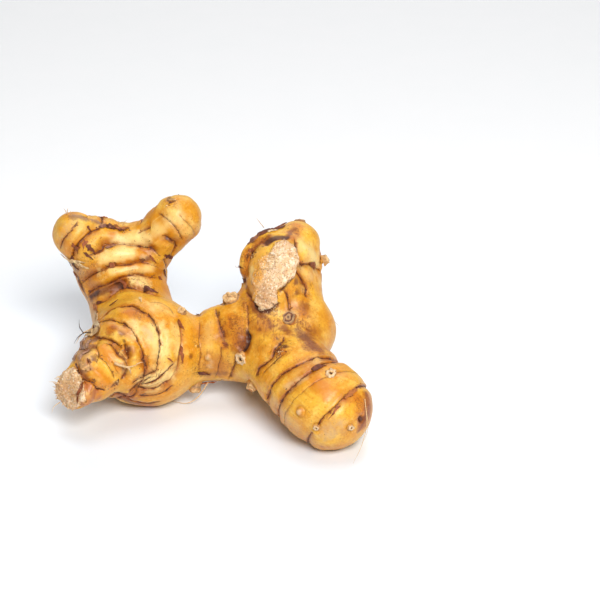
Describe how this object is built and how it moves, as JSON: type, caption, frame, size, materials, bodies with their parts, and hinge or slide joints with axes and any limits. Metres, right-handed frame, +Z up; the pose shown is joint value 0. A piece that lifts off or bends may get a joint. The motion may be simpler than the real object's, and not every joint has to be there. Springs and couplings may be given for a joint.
{
  "type": "galangal root",
  "caption": "Fresh galangal rhizome in one piece: ringed knobbly lobes, a forked branch, a snapped shoot and a leaf bud, lying at rest on a table.",
  "frame": {"origin": "on the table surface, under the middle of the rhizome's box", "axes": "+Z up from the table, +X along the rhizome's length from the leaf bud towards the blunt front lobe, -Y towards the side with the scar"},
  "size_m": [0.1068, 0.0868, 0.0609],
  "materials": {
    "rhizome_skin": "thin waxy golden-yellow skin, satin, with brown papery scale rings, pale root stubs and a cream fibrous scar"
  },
  "bodies": {
    "root": {"rhizome": "rhizome_skin"}
  },
  "joints": []
}
